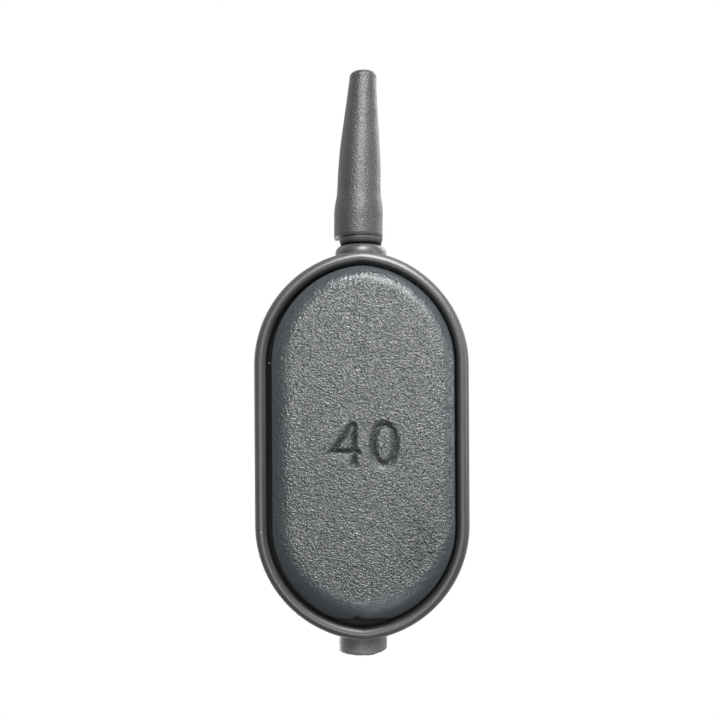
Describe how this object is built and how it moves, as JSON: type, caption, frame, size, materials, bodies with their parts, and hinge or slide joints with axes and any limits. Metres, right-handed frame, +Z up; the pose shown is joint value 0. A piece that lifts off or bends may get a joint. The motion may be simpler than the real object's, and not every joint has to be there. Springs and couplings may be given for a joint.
{
  "type": "method feeder",
  "caption": "In-line flat method feeder: lead in a beaded oval tray, arched bait ribs on the other side, and a stem for the line with a tail rubber and a soft swivel sleeve.",
  "frame": {"origin": "on the flat face of the lead that the feeder lies on, midway along the straight sides of the rim", "axes": "+Y along the line from the swivel to the tail rubber, +Z up from the lead through the bait ribs, X across"},
  "size_m": [0.0322, 0.0893, 0.0146],
  "materials": {
    "frame_plastic": "satin moulded nylon",
    "lead_coat": "crinkled coating over cast lead",
    "stem_plastic": "moulded",
    "sleeve_rubber": "matt moulded rubber",
    "tail_rubber": "matt moulded rubber"
  },
  "bodies": {
    "frame": {"frame": "frame_plastic", "lead_weight": "lead_coat"},
    "stem": {"stem_tube": "stem_plastic"},
    "sleeve": {"swivel_sleeve": "sleeve_rubber"},
    "tail_rubber": {"tail_rubber": "tail_rubber"}
  },
  "joints": [
    {"name": "stem_spin", "type": "hinge", "parent": "frame", "child": "stem", "pos_m": [0, 0, 0.0066], "axis": [0, 1, 0], "continuous": true},
    {"name": "sleeve_pull", "type": "slide", "parent": "stem", "child": "sleeve", "axis": [0, -1, 0], "range_m": [0, 0.009]},
    {"name": "tail_rubber_pull", "type": "slide", "parent": "stem", "child": "tail_rubber", "axis": [0, 1, 0], "range_m": [0, 0.009]}
  ]
}
